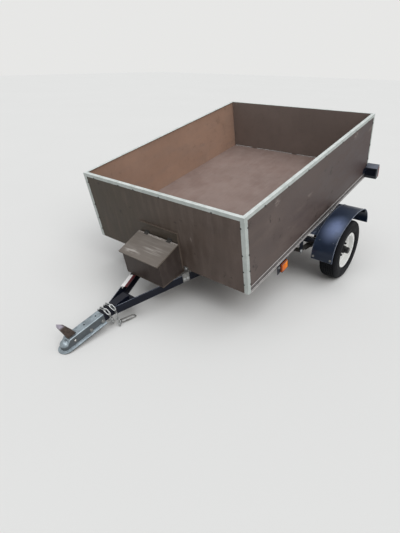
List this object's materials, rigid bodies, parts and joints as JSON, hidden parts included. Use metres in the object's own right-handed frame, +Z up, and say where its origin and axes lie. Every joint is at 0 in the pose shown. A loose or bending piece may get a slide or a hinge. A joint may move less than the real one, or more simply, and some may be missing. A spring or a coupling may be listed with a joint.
{
  "type": "utility trailer",
  "caption": "Single-axle box trailer with plywood bed, drop tailboard, drawbar locker, mudguards and pressed ball coupling, parked nose down.",
  "frame": {"origin": "on the ground under the middle of the whole trailer, parked with its coupling on the ground", "axes": "+X forward to the coupling, +Y to the trailer's left, +Z up; the bed and chassis are turned nose down about Y by 11.23 degrees"},
  "size_m": [2.8636, 1.932, 1.2085],
  "materials": {
    "panel_plywood": "brown film on plywood, satin, scratched and blotched",
    "floor_plywood": "brown film on plywood, worn pale",
    "locker_plywood": "dark brown film on plywood",
    "lid_plywood": "bare weathered plywood, scratched",
    "bearer_timber": "rough sawn timber",
    "trim_aluminium": "mill finish, dull",
    "frame_paint": "dark navy paint, dusty",
    "guard_paint": "dark navy gloss paint",
    "coupling_zinc": "zinc plated sheet, weathered",
    "zinc_steel": "zinc plated, weathered",
    "chain_zinc": "zinc plated chain",
    "rusty_steel": "rusted steel",
    "spring_steel": "black paint with rust",
    "hub_black": "black enamel",
    "rim_white": "white enamel, dusty",
    "tyre_rubber": "black rubber, dusty",
    "lamp_black": "black plastic",
    "lens_red": "red lens",
    "reflector_orange": "orange reflector",
    "marker_white": "white and dark red reflective plate"
  },
  "bodies": {
    "trailer": {"axle_beam": "frame_paint", "axle_clamps": "zinc_steel", "bolt_keepers": "zinc_steel", "chain_hook": "chain_zinc", "corner_angles": "trim_aluminium", "coupling_body": "coupling_zinc", "coupling_bolts": "zinc_steel", "coupling_latch": "rusty_steel", "cross_members": "frame_paint", "draw_tube": "frame_paint", "drawbar_leg_left": "frame_paint", "drawbar_leg_right": "frame_paint", "drawbar_marker": "marker_white", "floor_bearers": "bearer_timber", "floor_board": "floor_plywood", "foot_strips": "trim_aluminium", "front_board": "panel_plywood", "lamp_brackets": "frame_paint", "lamp_housings": "lamp_black", "lamp_lenses": "lens_red", "leaf_spring_left": "spring_steel", "leaf_spring_right": "spring_steel", "leg_bracket": "zinc_steel", "locker_back": "locker_plywood", "locker_box": "locker_plywood", "locker_hinge_fixed": "zinc_steel", "mudguard_left": "guard_paint", "mudguard_right": "guard_paint", "mudguard_stays": "frame_paint", "rear_sill": "panel_plywood", "reflector_brackets": "frame_paint", "rim_cap_front": "trim_aluminium", "rim_cap_left": "trim_aluminium", "rim_cap_right": "trim_aluminium", "safety_chain": "chain_zinc", "side_board_left": "panel_plywood", "side_board_right": "panel_plywood", "side_rail_left": "frame_paint", "side_rail_right": "frame_paint", "side_reflectors": "reflector_orange", "spring_hangers": "frame_paint", "tailboard_hinges": "zinc_steel"},
    "wheel_left": {"hub_left": "hub_black", "rim_left": "rim_white", "tyre_left": "tyre_rubber"},
    "wheel_right": {"hub_right": "hub_black", "rim_right": "rim_white", "tyre_right": "tyre_rubber"},
    "tailboard": {"tailboard": "panel_plywood", "tailboard_straps": "zinc_steel", "tailboard_bolts": "zinc_steel", "rim_cap_tail": "trim_aluminium"},
    "locker_lid": {"locker_lid": "lid_plywood", "locker_hinge_leaf": "zinc_steel"}
  },
  "joints": [
    {"name": "wheel_left_spin", "type": "hinge", "parent": "trailer", "child": "wheel_left", "pos_m": [-0.63965, 0.8875, 0.243], "axis": [0, 1, 0], "continuous": true},
    {"name": "wheel_right_spin", "type": "hinge", "parent": "trailer", "child": "wheel_right", "pos_m": [-0.63965, -0.8875, 0.243], "axis": [0, 1, 0], "continuous": true},
    {"name": "tailboard_hinge", "type": "hinge", "parent": "trailer", "child": "tailboard", "pos_m": [-1.41893, 0, 0.7546], "axis": [0, -1, 0], "range_deg": [0, 180]},
    {"name": "locker_lid_hinge", "type": "hinge", "parent": "trailer", "child": "locker_lid", "pos_m": [0.55407, 0, 0.49123], "axis": [0, -1, 0], "range_deg": [0, 100]}
  ]
}
